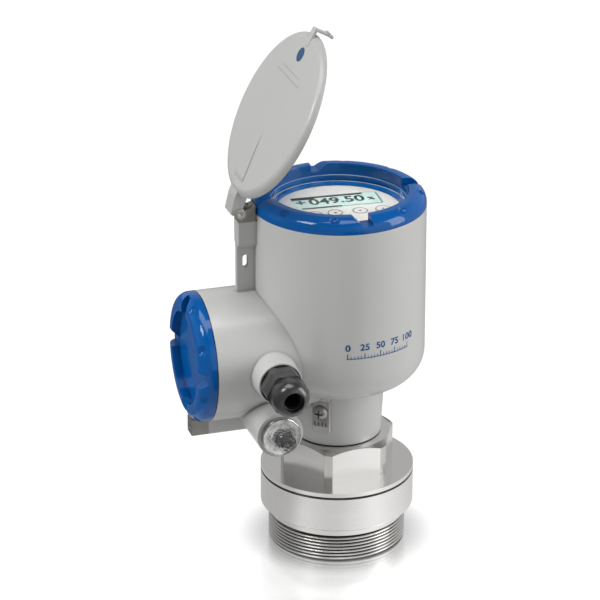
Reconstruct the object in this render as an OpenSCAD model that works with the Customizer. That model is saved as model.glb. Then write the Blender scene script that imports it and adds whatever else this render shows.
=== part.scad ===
// Radar level transmitter: a threaded process connection with a lens antenna,
// a two-chamber cast housing that turns on it, two screw covers, two cable
// entries and a hinged weather cover.
// Millimetres. +Z is up along the process axis. The origin is the centre of
// the thread's bottom face. The terminal chamber points along -X, and the
// cable entries and the reader's side of the display face -Y.

/* [Process connection] */
// Major diameter of the parallel pipe thread
thread_d = 87.88; // [84:0.02:92]
// Height of the threaded length with its plain collar
thread_h = 24; // [20:0.5:34]
// Diameter of the flange and of the adapter's plate
flange_d = 98; // [95:0.5:108]
// Height of the flange above the thread
flange_h = 22.9; // [20:0.1:30]
// Thickness of the gasket in the groove between flange and adapter
gasket_t = 0.8; // [0.5:0.1:2]
// Thickness of the adapter's round plate
plate_t = 2.7; // [2:0.1:6]
// Width across the flats of the hexagon
hex_af = 67.6; // [64:0.1:72]
// Diameter to which the hexagon's corners are turned
hex_turned_d = 75.2; // [70:0.1:80]
// Height of the hexagon
hex_h = 23; // [16:0.5:32]
// Angle of one corner of the hexagon from the X axis
hex_turn = 3.8; // [0:0.1:30]
// Diameter of the swivel spigot inside the neck
spigot_d = 48; // [44:0.5:50]
// Length of the swivel spigot
spigot_h = 26.6; // [24:0.1:30]

/* [Antenna] */
// Diameter of the lens at its rim
lens_d = 75.8; // [73:0.1:76]
// Thickness of the lens rim
lens_rim_t = 4.4; // [4:0.1:5]
// Height of the lens's dome inside the horn
lens_dome = 8; // [4:0.5:9]
// Outer diameter of the waveguide tube
guide_d = 11.9; // [8:0.1:16]

/* [Housing] */
// Outer diameter of the main chamber at the display cover
body_d = 109.2; // [106:0.2:120]
// Growth of the main chamber's radius from the joint to the bowl
body_draft = 0.4; // [0:0.1:1]
// Height of the main chamber from the bowl's floor to the joint
body_h = 116.8; // [114:0.2:140]
// Corner radius of the bowl
bowl_r = 20.8; // [16:0.2:24]
// Outer diameter of the neck where it meets the bowl
neck_d = 59.4; // [58:0.2:64]
// Height of the neck
neck_h = 37.6; // [36:0.2:44]
// Gap between hexagon and neck, closed by the neck seal
neck_gap = 0.6; // [0.4:0.1:1.5]
// Diameter of the main chamber inside
chamber_d = 100; // [96:0.5:101]
// Depth of the main chamber below the joint
chamber_depth = 46.4; // [44:0.2:50]
// Diameter of the lower chamber
lower_d = 68; // [60:0.5:70]
// Offset of the lower chamber from the process axis, away from the terminals
lower_offset = 11; // [10:0.5:12]

/* [Terminal chamber] */
// Outer diameter of the terminal chamber
term_d = 82.4; // [80:0.2:86]
// Distance from the process axis to the terminal cover's joint
term_reach = 89.7; // [86:0.1:100]
// Height of the terminal chamber's axis above the bowl's floor
term_rise = 24.15; // [20:0.05:28]
// Inner diameter of the terminal chamber
term_bore = 73; // [68:0.5:74]
// Distance from the process axis to the terminal chamber's end wall
term_wall = 30; // [29:0.1:34]

/* [Cable entries] */
// Distance of both entries from the process axis, towards the terminals
entry_offset = 54.2; // [52:0.1:60]
// Diameter of the entry thread
entry_thread = 20; // [16:0.5:20]
// Diameter of the upper entry's boss at its face
entry_boss_d = 27.6; // [27:0.1:30]
// Diameter of the lower entry's boss at its face
lower_boss_d = 29.2; // [28:0.1:30.4]
// Diameter of the entry bosses at their roots
entry_root_d = 30.4; // [30:0.1:34]
// Distance of the upper entry's face from the process axis
upper_face = 54.5; // [52:0.1:62]
// Distance of the lower entry's face from the process axis
lower_face = 53.4; // [50:0.1:60]
// Drop of the lower entry below the upper one
lower_drop = 35.15; // [34:0.05:38]

/* [Covers] */
// Height of the display cover above its joint
display_cover_t = 9.3; // [8.5:0.1:12]
// Height of the terminal cover beyond its joint
term_cover_t = 11; // [9:0.1:13]
// Radius of the rounded shoulder of both covers
shoulder_r = 8; // [5:0.1:8]
// Length of the threaded skirt of both covers
skirt_h = 13; // [12:0.5:15]
// Diameter of the pocket that holds the window
window_d = 86.2; // [84:0.1:88]
// Diameter of the clear opening under the window
aperture_d = 78.2; // [76:0.1:82]
// Depth of the window's upper face below the cover's joint, negative above it
window_drop = -1.6; // [-3:0.1:0]
// Thickness of the window
window_t = 6; // [5:0.1:7]
// Diameter of the terminal cover's sunk centre
term_sunk_d = 59; // [50:0.5:62]
// Depth of the terminal cover's sunk centre
term_sunk = 5.2; // [5:0.1:6]
// Depth of the four tool notches in each cover's rim
notch_depth = 4.9; // [3:0.1:5]
// Running clearance on each side of every turning fit
fit = 0.05; // [0.02:0.01:0.09]

/* [Display] */
// Width of the liquid crystal display
lcd_w = 56; // [50:0.5:58]
// Depth of the liquid crystal display
lcd_l = 21; // [18:0.5:22]
// Offset of the display towards the back
lcd_back = 12.8; // [11:0.1:14]
// Diameter of the four touch keys
key_d = 9.6; // [8:0.1:11]
// Angle of the display module about the process axis
display_turn = -3.5; // [-10:0.5:10]

/* [Cable gland and plug] */
// Width across the flats of the gland's hexagons
gland_af = 24; // [22:0.1:24.4]
// Thickness of the gland's fixed hexagon
gland_hex_t = 6; // [5:0.1:8]
// Height of the domed nut
gland_nut_h = 21; // [19:0.5:24]
// Diameter of the opening in the domed nut
gland_mouth_d = 13; // [11:0.1:14]
// Diameter of the cable hole in the rubber seal
cable_d = 10; // [6:0.1:11]
// Diameter of the blanking plug's head
plug_d = 25; // [23:0.1:27]
// Thickness of the blanking plug's head
plug_t = 3.6; // [3:0.1:5]

/* [Ground terminal] */
// Angle of the ground terminal about the process axis
ground_angle = -127.5; // [-135:0.5:-120]
// Width of the ground clamp
ground_w = 10.2; // [9:0.1:11]
// Height of the ground clamp
ground_h = 18.1; // [16:0.1:20]
// Thickness of the ground clamp
ground_t = 1.8; // [1.5:0.1:2.5]

/* [Cover locks and hinge] */
// Width of the casting ribs and of the lock blocks
lock_w = 10; // [8:0.1:12]
// Height of each lock block along its cover's axis
lock_h = 8.8; // [8:0.1:11]
// Distance of the hinge pin from the display cover's side
hinge_out = 11.4; // [11:0.1:13]
// Height of the hinge pin above the display cover's joint
hinge_up = 3; // [2.5:0.1:4]
// Diameter of the hinge pin
hinge_pin_d = 3.9; // [3:0.1:4]

/* [Weather cover] */
// Outer diameter of the weather cover
shade_d = 108.2; // [104:0.2:110]
// Height of the weather cover's rim and top together
shade_t = 5; // [4.6:0.1:7]
// Wall thickness of the weather cover
shade_wall = 2; // [1.4:0.1:2.4]
// Distance from the hinge pin to the weather cover's centre
shade_reach = 64.3; // [63.6:0.1:66]
// Height of the weather cover's rim above the hinge pin when parallel
shade_rise = 3.8; // [3.4:0.1:5]
// Opening angle of the weather cover at rest
shade_open = 61.8; // [45:0.2:100]

/* [Hidden] */
$fn = 96;
e = 1;

thread_r = thread_d / 2;
lead_in = min(1.2, (thread_d - lens_d) / 8);
flange_r = flange_d / 2;
z_flange = thread_h;
z_gasket = z_flange + flange_h;
z_plate = z_gasket + gasket_t;
z_hex = z_plate + plate_t;
z_spigot = z_hex + hex_h;
z_neck = z_spigot + neck_gap;
z_bowl = z_neck + neck_h;
z_joint = z_bowl + body_h;
z_term = z_bowl + term_rise;
z_low = z_term - lower_drop;
z_mouth = z_joint - chamber_depth;
z_lower = z_bowl + 10.4;
spigot_r = spigot_d / 2;
body_r = body_d / 2;
bowl_wide = body_r + body_draft;
bowl_c = bowl_wide - bowl_r;
z_belly = z_bowl + bowl_r;
neck_r = neck_d / 2;
neck_fillet = 4.5;
neck_taper = 1.8;
chamber_r = chamber_d / 2;
lower_r = lower_d / 2;
tower_r = lower_r - lower_offset - 1;
feed_in = tower_r + 1.5;
term_r = term_d / 2;
entry_r = entry_thread / 2;
lens_seat = 1.6 + lens_rim_t;
lens_r = lens_d / 2;
horn_r = lens_r - 2.9;
guide_r = guide_d / 2;
socket_r = 20;
z_socket = z_gasket - 6.9;
z_guide = z_socket - 4;
clip_t = 1.5;
clip_out = 3.4;
clip_ledge = 22;
neck_bore = spigot_r + 2.6;
z_guide_top = z_lower - 10;
skirt_r = chamber_r - fit;
skirt_in = skirt_r - 4.95;
window_r = window_d / 2;
aperture_r = aperture_d / 2;
z_window = z_joint - window_drop;
z_seal = z_window - window_t;
seal_t = 0.5;
lip_t = 1;
z_bezel = z_seal - seal_t - lip_t - 0.3;
bezel_t = 2;
bezel_r = skirt_in - 0.7;
z_board = z_bezel - bezel_t - 6.6;
elec_h = 23;
z_elec = z_mouth + elec_h;
term_root = 34;
block_t = 16;
block_w = 48;
block_h = 27;
term_pitch = 9;
board_t = 1.6;
hinge_x = -(body_r + hinge_out);
hinge_z = z_joint + hinge_up;
pin_r = hinge_pin_d / 2;
ear_r = 3.4;
bracket_top = z_joint - 4.3;
bracket_x = hinge_x - 0.1;
lock_top = bracket_top + lock_h;
lock_seat = lock_top - 1.8;
lock_x = -(body_r + 0.6);
screw_r = 2;
screw_head_r = 3;
screw_head_t = 3;
screw_l = 17;
term_lock_l = 11.1;
term_lock_seat = term_lock_l - screw_head_t - 0.2;
lock_screw_x = hinge_x + 6.5;
rib_x = -(term_reach - 3.2);
rib_low = z_term - term_r - 11.15;
rib_top = z_term - term_r - 0.55;
washer_t = 1.2;
y_hex = upper_face + washer_t;
y_nut = y_hex + gland_hex_t + 0.3;
entry_l = 11.5;
collar_r = 10.5;
collar_h = 9.3;
fork_in = lock_w / 2 + 0.3;
fork_t = 1.5;
fork_out = fork_in + fork_t;
pad_r = 30.6;
z_clamp = z_neck + 14.5;
z_ground = z_clamp + 9.8;
ground_screw_r = 2.5;
z_ledge = z_clamp + ground_h + 0.4;

// A tube between two heights
module tube(ro, ri, z0, z1) {
  translate([0, 0, z0])
    difference() {
      cylinder(h = z1 - z0, r = ro);
      translate([0, 0, -e]) cylinder(h = z1 - z0 + 2 * e, r = ri);
    }
}

// An O-ring around Z
module o_ring(rc, rs, z) {
  translate([0, 0, z]) rotate_extrude() translate([rc, 0]) circle(r = rs);
}

// Turns +Z to -X
module to_terminals() {
  translate([0, 0, z_term]) rotate([0, -90, 0]) children();
}

// Turns +Z to -Y at the cable entries
module to_entry(z) {
  translate([-entry_offset, 0, z]) rotate([90, 0, 0]) children();
}

module threaded_flange() {
  color([0.72, 0.72, 0.71])
    rotate_extrude()
      difference() {
        polygon([[lens_r + 0.1, 0], [thread_r - lead_in, 0],
          [thread_r, lead_in],
          [thread_r, z_flange], [flange_r, z_flange], [flange_r, z_gasket],
          [socket_r, z_gasket], [socket_r, z_socket],
          [guide_r + fit, z_socket], [guide_r + fit, z_guide],
          [horn_r, lens_seat], [lens_r + 0.1, lens_seat]]);
        translate([lens_r - 1, 0.45]) square([1.9, 1.1]);
      }
}

module lens_antenna() {
  dome_r = (pow(horn_r - 1, 2) + pow(lens_dome, 2)) / (2 * lens_dome);
  color([0.85, 0.8, 0.68])
    rotate_extrude()
      difference() {
        union() {
          translate([0, lens_seat - lens_rim_t]) square([lens_r, lens_rim_t]);
          square([horn_r - 1.5, lens_seat]);
          intersection() {
            translate([0, lens_seat + lens_dome - dome_r])
              circle(r = dome_r);
            translate([0, lens_seat - 1])
              square([horn_r - 1, lens_dome + 2]);
          }
        }
        translate([lens_r - 1.7, lens_seat - 3.1]) square([e + 1.7, 2]);
      }
}

module lens_o_ring() {
  color([0.08, 0.08, 0.08]) o_ring(lens_r - 0.85, 0.8, lens_seat - 2.1);
}

module lens_retaining_ring() {
  color([0.72, 0.72, 0.71]) tube(lens_r + 0.8, lens_r - 3.4, 0.5, 1.5);
}

module flange_gasket() {
  color([0.08, 0.08, 0.08])
    tube(flange_r - 0.4, socket_r + 0.5, z_gasket, z_plate);
}

module hex_adapter() {
  color([0.72, 0.72, 0.71])
    difference() {
      union() {
        rotate_extrude()
          polygon([[0, z_socket + 0.1], [socket_r - 0.1, z_socket + 0.1],
            [socket_r - 0.1, z_plate - e], [socket_r - 0.1, z_plate],
            [flange_r, z_plate], [flange_r, z_hex], [0, z_hex]]);
        intersection() {
          translate([0, 0, z_hex - 0.5])
            rotate([0, 0, hex_turn])
              cylinder(h = hex_h + 0.5, r = hex_af / 2 / cos(30), $fn = 6);
          rotate_extrude()
            polygon([[0, z_hex - e], [hex_turned_d / 2, z_hex - e],
              [hex_turned_d / 2, z_spigot - 2.4],
              [hex_af / 2 - 0.3, z_spigot], [0, z_spigot]]);
        }
        rotate_extrude()
          polygon([[0, z_spigot - e], [spigot_r, z_spigot - e],
            [spigot_r, z_neck + clip_ledge + 0.1],
            [spigot_r - 1.5, z_neck + clip_ledge + 0.1],
            [spigot_r - 1.5, z_neck + clip_ledge + clip_t + 0.2],
            [spigot_r, z_neck + clip_ledge + clip_t + 0.2],
            [spigot_r, z_spigot + spigot_h - 0.8],
            [spigot_r - 0.8, z_spigot + spigot_h],
            [0, z_spigot + spigot_h]]);
      }
      translate([0, 0, z_socket - e])
        cylinder(h = z_spigot + spigot_h - z_socket + 2 * e, r = guide_r + fit);
    }
}

module waveguide_tube() {
  color([0.72, 0.72, 0.71]) tube(guide_r, guide_r - 4.45, z_guide, z_guide_top);
}

module swivel_clip() {
  z = z_neck + clip_ledge + 0.15;
  color([0.5, 0.5, 0.5])
    difference() {
      tube(spigot_r + 1.9, spigot_r - 1.4, z, z + clip_t);
      translate([0, -2.5, z - e]) cube([spigot_r + 5, 5, clip_t + 2 * e]);
    }
}

module neck_seal() {
  color([0.1, 0.1, 0.1])
    tube(neck_r - neck_taper - 0.6, spigot_r + 0.1, z_spigot + 0.05, z_neck);
}

// Outer shape of the main chamber, the bowl and the neck
module body_outline() {
  polygon([[0, z_neck], [neck_r - neck_taper, z_neck],
    [neck_r, z_bowl - neck_fillet], [neck_r - 1, z_bowl], [0, z_bowl]]);
  difference() {
    translate([0, z_bowl - neck_fillet])
      square([neck_r + neck_fillet, neck_fillet + 2]);
    translate([neck_r + neck_fillet, z_bowl - neck_fillet])
      circle(r = neck_fillet);
  }
  translate([0, z_bowl]) square([bowl_c, bowl_r + 2]);
  intersection() {
    translate([bowl_c, z_belly]) circle(r = bowl_r);
    translate([0, z_bowl - e]) square([bowl_wide + e, bowl_r + e]);
  }
  polygon([[0, z_belly], [bowl_wide, z_belly], [body_r, z_joint],
    [0, z_joint]]);
}

// One cable entry's boss, with a round end inside the casting
module entry_boss(z, face, root, d) {
  r = entry_root_d / 2;
  to_entry(z)
    rotate_extrude() {
      polygon([[0, root], [r, root], [d / 2, face], [0, face]]);
      intersection() {
        translate([0, root]) circle(r = r);
        translate([0, root - r - e]) square([r + e, r + e]);
      }
    }
}

// Casting outside, before the chambers are cut
module casting() {
  rotate_extrude() body_outline();
  to_terminals()
    rotate_extrude() {
      translate([0, term_root]) square([term_r, term_reach - term_root]);
      intersection() {
        translate([0, term_root]) circle(r = term_r);
        translate([0, term_root - term_r - e]) square([term_r + e, term_r + e + 0.01]);
      }
    }
  entry_boss(z_term, upper_face, 30, entry_boss_d);
  entry_boss(z_low, lower_face, 15, lower_boss_d);
  translate([rib_x, -lock_w / 2, rib_low])
    cube([-rib_x - entry_offset, lock_w, z_low - rib_low]);
  translate([bracket_x, 0, bracket_top])
    rotate([90, 0, 90])
      linear_extrude(height = -bracket_x - body_r + 4.6)
        polygon([[-lock_w / 2, 0], [-lock_w / 2, -14.6], [-2, -17.6],
          [2, -17.6], [lock_w / 2, -14.6], [lock_w / 2, 0]]);
  translate([hinge_x - 0.4, -2, bracket_top - 47.2])
    cube([-hinge_x - body_r + 8, 4, 31]);
  rotate([0, 0, ground_angle]) {
    translate([20, -5.5, z_neck + 10]) cube([pad_r - 20, 11, 27.6]);
    translate([20, -5.5, z_ledge]) cube([pad_r - 17, 11, 3]);
  }
}

module housing() {
  color([0.78, 0.78, 0.76])
    difference() {
      casting();
      translate([0, 0, z_mouth]) cylinder(h = chamber_depth + e, r = chamber_r);
      translate([lower_offset, 0, z_lower])
        cylinder(h = z_mouth - z_lower + e, r = lower_r);
      translate([0, 0, z_neck + clip_ledge])
        cylinder(h = z_lower - z_neck - clip_ledge + e, r = neck_bore);
      translate([0, 0, z_neck - e])
        cylinder(h = clip_ledge + 2 * e, r = spigot_r + fit);
      to_terminals()
        translate([0, 0, term_wall])
          cylinder(h = term_reach - term_wall + e, r = term_bore / 2);
      translate([-term_wall - e, 0, z_term + term_rise + 0.1])
        rotate([0, 90, 0]) cylinder(h = 12, r = 5);
      to_entry(z_term) translate([0, 0, 20])
        cylinder(h = upper_face - 20 + e, r = entry_r);
      to_entry(z_low) {
        translate([0, 0, lower_face - 14.5]) cylinder(h = 15.5, r = entry_r);
        translate([0, 0, 5]) cylinder(h = lower_face - 5, r = entry_r - 1.5);
      }
      translate([lock_screw_x, 0, lock_seat - screw_l - 0.5])
        cylinder(h = screw_l, r = screw_r);
      translate([rib_x - term_lock_seat, 0, rib_low + 5])
        rotate([0, 90, 0]) cylinder(h = screw_l + 0.5, r = screw_r);
      for (s = [-1, 1])
        translate([hinge_x + 5, e + 2, bracket_top - 27.1 + s * 2.5])
          rotate([90, 0, 0]) cylinder(h = 6, r = 1.85);
      translate([hinge_x + 3.15, -e - 2, bracket_top - 29.6])
        cube([3.7, 6, 5]);
      rotate([0, 0, ground_angle]) {
        translate([pad_r - 3.2, 0, z_ground])
          rotate([0, 90, 0]) cylinder(h = 8, r = ground_screw_r);
        translate([pad_r, -5.7, z_neck + 8])
          cube([12, 11.4, z_ledge - z_neck - 8]);
      }
    }
}

module radar_module() {
  color([0.3, 0.32, 0.34])
    difference() {
      union() {
        translate([0, 0, z_guide_top - 8])
          cylinder(h = 18.5, r = neck_bore - 0.3);
        translate([lower_offset, 0, z_lower])
          cylinder(h = 3, r = lower_r - 0.3);
        translate([0, 0, z_lower + 2.5]) cylinder(h = z_mouth - z_lower - 10, r = tower_r);
      }
      translate([0, 0, z_guide_top - 8 - e])
        cylinder(h = 8.3 + e, r = guide_r + 0.1);
    }
}

module electronics_module() {
  color([0.16, 0.17, 0.18])
    translate([0, 0, z_mouth]) cylinder(h = elec_h, r = chamber_r - 1.5);
}

module display_module() {
  color([0.2, 0.21, 0.22])
    difference() {
      translate([0, 0, z_elec])
        cylinder(h = z_bezel - bezel_t - z_elec, r = bezel_r - 0.3);
      translate([0, 0, z_elec + 3])
        cylinder(h = 30, r = bezel_r - 5);
      translate([0, 0, z_board]) cylinder(h = 30, r = bezel_r - 2.5);
    }
}

module display_board() {
  color([0.1, 0.35, 0.2])
    translate([0, 0, z_board]) cylinder(h = board_t, r = bezel_r - 2.6);
}

module lcd_panel() {
  color([0.74, 0.82, 0.78])
    rotate([0, 0, display_turn])
      translate([-lcd_w / 2 + 2.2, lcd_back - lcd_l / 2, z_board + board_t])
        cube([lcd_w, lcd_l, z_bezel - 0.2 - z_board - board_t]);
}

// The four places of the touch keys
module key_places() {
  rotate([0, 0, display_turn])
    for (x = [-16.7, -3.7, 12.2, 26.8])
      translate([x, -6.1, 0]) children();
}

module display_bezel() {
  color([0.87, 0.85, 0.83])
    difference() {
      translate([0, 0, z_bezel - bezel_t])
        cylinder(h = bezel_t, r = bezel_r);
      rotate([0, 0, display_turn])
        translate([-lcd_w / 2 + 2.1, lcd_back - lcd_l / 2 - 0.1,
          z_bezel - bezel_t - e])
          cube([lcd_w + 0.2, lcd_l + 0.2, bezel_t + 2 * e]);
      key_places()
        translate([0, 0, z_bezel - 0.8]) cylinder(h = 2, r = key_d / 2 + 0.1);
    }
}

module display_keys() {
  color([0.3, 0.31, 0.32])
    key_places()
      translate([0, 0, z_bezel - 0.8]) cylinder(h = 0.9, r = key_d / 2);
}

module cable_feedthrough() {
  color([0.15, 0.15, 0.16])
    translate([0, 0, z_term + term_rise + 0.1])
      rotate([0, -90, 0]) {
        translate([0, 0, feed_in])
          cylinder(h = term_wall - feed_in + 0.5, r = 4.9);
        translate([0, 0, term_wall]) cylinder(h = 3, r = 8);
      }
}

module terminal_block() {
  color([0.12, 0.3, 0.2])
    difference() {
      translate([-term_wall - block_t, -block_w / 2, z_term + 4 - block_h])
        cube([block_t, block_w, block_h]);
      for (y = [-2 * term_pitch:term_pitch:2 * term_pitch]) {
        translate([-term_wall - block_t - e, y, z_term - 4])
          rotate([0, 90, 0]) cylinder(h = 8, r = 1.6);
        translate([-term_wall - block_t - e, y - 2.5, z_term + 10 - block_h])
          cube([9, 5, 5]);
      }
    }
}

module terminal_screws() {
  color([0.75, 0.74, 0.7])
    for (y = [-2 * term_pitch:term_pitch:2 * term_pitch])
      translate([-term_wall - block_t, y, z_term - 4])
        difference() {
          union() {
            translate([-1.5, 0, 0]) rotate([0, 90, 0])
              cylinder(h = 1.5, r = 2.8);
            rotate([0, 90, 0]) cylinder(h = 6, r = 1.5);
          }
          translate([-2, -2.9, -0.4]) cube([1.1, 5.8, 0.8]);
        }
}

// The four notches and eight dimples of a cover's rim
module cover_cuts(t, r, r0, lean, spread) {
  reach = shoulder_r + 3.1;
  for (a = [0:90:270]) {
    rotate([0, 0, a])
      translate([r0, 0, 0])
        rotate([90, 0, 90])
          linear_extrude(height = 20)
            polygon([[4.7, t - notch_depth], [4.7, t + e],
              [-1 - 1.06 * (notch_depth + e), t + e],
              [-1, t - notch_depth]]);
    for (s = [-1, 1])
      rotate([0, 0, a + 5.4 + s * spread])
        translate([r - shoulder_r + reach * sin(lean), 0,
          t - shoulder_r + reach * cos(lean)])
          sphere(r = 4.6);
  }
}

// Rounded outer shape of a cover above its joint, with its skirt
module cover_outline(r, t, rs) {
  square([r - shoulder_r, t]);
  square([r, t - shoulder_r]);
  intersection() {
    translate([r - shoulder_r, t - shoulder_r]) circle(r = shoulder_r);
    square([r + e, t + e]);
  }
  translate([0, -skirt_h]) square([rs, skirt_h + 0.01]);
}

module display_cover() {
  color([0, 0.3, 0.6])
    translate([0, 0, z_joint])
      difference() {
        rotate_extrude()
          difference() {
            cover_outline(body_r, display_cover_t, skirt_r);
            translate([0, z_seal - z_joint]) square([window_r + 0.1, 100]);
            translate([window_r - 0.8, z_seal - seal_t - z_joint])
              square([0.9, seal_t + e]);
            translate([window_r, display_cover_t - 0.6])
              polygon([[0, 0], [0.7, 1], [-1, 1], [-1, 0]]);
            translate([0, -50]) square([aperture_r, 100]);
            translate([0, z_seal - seal_t - lip_t - z_joint - 50])
              square([skirt_in, 50]);
            translate([skirt_r - 2, -3.2]) square([4, 2.4]);
          }
        cover_cuts(display_cover_t, body_r, 40, 30, 26);
      }
}

module cover_window() {
  color([0.8, 0.9, 0.92])
    translate([0, 0, z_seal]) cylinder(h = window_t, r = window_r);
}

module window_seal() {
  color([0.08, 0.08, 0.08])
    tube(window_r, window_r - 0.7, z_seal - seal_t, z_seal);
}

module display_cover_o_ring() {
  color([0.08, 0.08, 0.08]) o_ring(skirt_r - 1.05, 0.88, z_joint - 2);
}

module terminal_cover() {
  rs = term_bore / 2 - fit;
  color([0, 0.3, 0.6])
    to_terminals()
      translate([0, 0, term_reach])
        difference() {
          rotate_extrude()
            difference() {
              cover_outline(term_r, term_cover_t, rs);
              translate([0, term_cover_t - term_sunk])
                square([term_sunk_d / 2, 20]);
              translate([0, -skirt_h - e]) square([rs - 4, skirt_h + e + 1]);
              translate([rs - 2, -3.2]) square([4, 2.4]);
            }
          cover_cuts(term_cover_t, term_r, 27, 48, 24);
        }
}

module terminal_cover_o_ring() {
  color([0.08, 0.08, 0.08])
    to_terminals() o_ring(term_bore / 2 - fit - 1.05, 0.88, term_reach - 2);
}

module display_cover_lock() {
  color([0.4, 0.39, 0.37])
    difference() {
      translate([0, lock_w / 2, 0])
        rotate([90, 0, 0])
          linear_extrude(height = lock_w)
            difference() {
              union() {
                polygon([[hinge_x, bracket_top], [lock_x, bracket_top],
                  [lock_x, lock_top + 1.1], [hinge_x + 3.5, lock_top - 1.2],
                  [hinge_x, lock_top - 1.2]]);
                translate([hinge_x, hinge_z]) circle(r = ear_r);
              }
              translate([hinge_x, hinge_z]) circle(r = pin_r + fit);
            }
      translate([lock_screw_x, 0, bracket_top - e])
        cylinder(h = lock_h + 2 * e, r = screw_r + 0.1);
      translate([lock_screw_x, 0, lock_seat])
        cylinder(h = lock_h, r = screw_head_r + 0.3);
    }
}

module terminal_cover_lock() {
  color([0.4, 0.39, 0.37])
    difference() {
      translate([rib_x - term_lock_l, -lock_w / 2, rib_low])
        cube([term_lock_l, lock_w, rib_top - rib_low]);
      translate([rib_x - term_lock_l - e, 0, rib_low + 5])
        rotate([0, 90, 0]) {
          cylinder(h = term_lock_l + 2 * e, r = screw_r + 0.1);
          cylinder(h = term_lock_l - term_lock_seat + e,
            r = screw_head_r + 0.3);
        }
    }
}

// Cap screw along -Z from its seat, with a hexagon socket
module cap_screw(l, rs, rh, th) {
  difference() {
    union() {
      translate([0, 0, -l]) cylinder(h = l + 0.5, r = rs);
      cylinder(h = th, r = rh);
    }
    translate([0, 0, th - 2.1]) cylinder(h = 3, r = rh * 0.52, $fn = 6);
  }
}

module lock_screws() {
  color([0.6, 0.59, 0.56]) {
    translate([lock_screw_x, 0, lock_seat])
      cap_screw(screw_l, screw_r - fit, screw_head_r, screw_head_t);
    translate([rib_x - term_lock_seat, 0, rib_low + 5])
      rotate([0, -90, 0])
        cap_screw(screw_l, screw_r - fit, screw_head_r, screw_head_t);
  }
}

module gland_washer() {
  color([0.1, 0.1, 0.1])
    to_entry(z_term) tube(entry_boss_d / 2 - 0.8, entry_r + 0.1, upper_face, y_hex);
}

module gland_body() {
  color([0.2, 0.2, 0.21])
    to_entry(z_term)
      difference() {
        union() {
          translate([0, 0, upper_face - entry_l])
            cylinder(h = entry_l + 1.5, r = entry_r - fit);
          intersection() {
            translate([0, 0, y_hex])
              cylinder(h = gland_hex_t, r = gland_af / 2 / cos(30), $fn = 6);
            translate([0, 0, y_hex - e])
              cylinder(h = gland_hex_t + 2 * e, r = gland_af / 2 + 1.3);
          }
          translate([0, 0, y_hex + 1])
            cylinder(h = gland_hex_t + collar_h, r = collar_r);
        }
        translate([0, 0, upper_face - 20]) cylinder(h = 60, r = 7);
        translate([0, 0, y_nut + 4]) cylinder(h = 20, r = 8);
      }
}

module gland_seal() {
  color([0.12, 0.12, 0.12])
    to_entry(z_term)
      difference() {
        union() {
          translate([0, 0, y_nut + 4]) cylinder(h = 6, r = 7.9);
          translate([0, 0, y_nut + 10]) cylinder(h = 6, r = 9.3);
        }
        translate([0, 0, y_nut]) cylinder(h = 30, r = cable_d / 2);
      }
}

module gland_clamp_ring() {
  color([0.3, 0.3, 0.3])
    to_entry(z_term) tube(8, 5.6, y_nut + 16.3, y_nut + 17.8);
}

// Shape of the domed nut in section, smaller by a wall
module dome_outline(w, low) {
  translate([0, low]) {
    square([11.7 - w, 14 - low]);
    square([4.7, gland_nut_h - w - low]);
  }
  intersection() {
    translate([4.7, gland_nut_h - 7]) circle(r = 7 - w);
    square([20, 30]);
  }
}

module gland_nut() {
  color([0.13, 0.13, 0.14])
    to_entry(z_term)
      translate([0, 0, y_nut])
        difference() {
          union() {
            intersection() {
              cylinder(h = 8, r = gland_af / 2 / cos(30), $fn = 6);
              cylinder(h = 8, r1 = gland_af / 2 + 1.3, r2 = gland_af / 2 + 1.3);
            }
            rotate_extrude() dome_outline(0, 0);
          }
          rotate_extrude() {
            translate([0, -e]) square([collar_r + fit, collar_h + 2 + e]);
            dome_outline(1.7, 5);
            square([gland_mouth_d / 2, gland_nut_h + e]);
          }
        }
}

module blanking_plug() {
  dish_r = (pow(plug_d / 2 - 0.7, 2) + pow(1.8, 2)) / 3.6;
  color([0.14, 0.14, 0.15])
    to_entry(z_low)
      translate([0, 0, lower_face])
        rotate_extrude()
          difference() {
            polygon([[0, -entry_l], [entry_r - 1, -entry_l],
              [entry_r - fit, 1 - entry_l], [entry_r - fit, -1.7],
              [entry_r - 1.4, -1.7], [entry_r - 1.4, 0], [plug_d / 2, 0],
              [plug_d / 2, plug_t - 0.4], [plug_d / 2 - 0.4, plug_t],
              [0, plug_t]]);
            intersection() {
              translate([0, plug_t + dish_r - 1.8]) circle(r = dish_r);
              square([plug_d / 2, 10]);
            }
          }
}

module plug_o_ring() {
  color([0.08, 0.08, 0.08])
    to_entry(z_low) o_ring(entry_r - 0.7, 0.62, lower_face - 0.85);
}

module ground_clamp() {
  color([0.75, 0.75, 0.73])
    rotate([0, 0, ground_angle])
      difference() {
        translate([pad_r, -ground_w / 2, z_clamp])
          cube([ground_t, ground_w, ground_h]);
        translate([pad_r - e, 0, z_ground])
          rotate([0, 90, 0]) cylinder(h = 5, r = ground_screw_r + 0.1);
        for (y = [-3.6:2.4:3.6])
          translate([pad_r + ground_t, y, z_clamp - e])
            rotate([0, 0, 45]) translate([-0.5, -0.5, 0]) cube([1, 1, 4.2]);
      }
}

module ground_screw() {
  color([0.7, 0.69, 0.66])
    rotate([0, 0, ground_angle])
      translate([pad_r + ground_t, 0, z_ground])
        rotate([0, 90, 0])
          difference() {
            union() {
              translate([0, 0, -4.8])
                cylinder(h = 5, r = ground_screw_r - fit);
              rotate_extrude()
                intersection() {
                  translate([0, -3]) circle(r = 6.2);
                  square([4.9, 4]);
                }
            }
            translate([-2.6, -0.5, 1]) cube([5.2, 1, 4]);
            translate([-0.5, -2.6, 1]) cube([1, 5.2, 4]);
          }
}

module hinge_screw() {
  color([0.7, 0.69, 0.66])
    translate([hinge_x, -fork_out, hinge_z])
      rotate([90, 0, 0])
        cap_screw(2 * fork_out + 3, pin_r, 3.1, 2.7);
}

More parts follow.
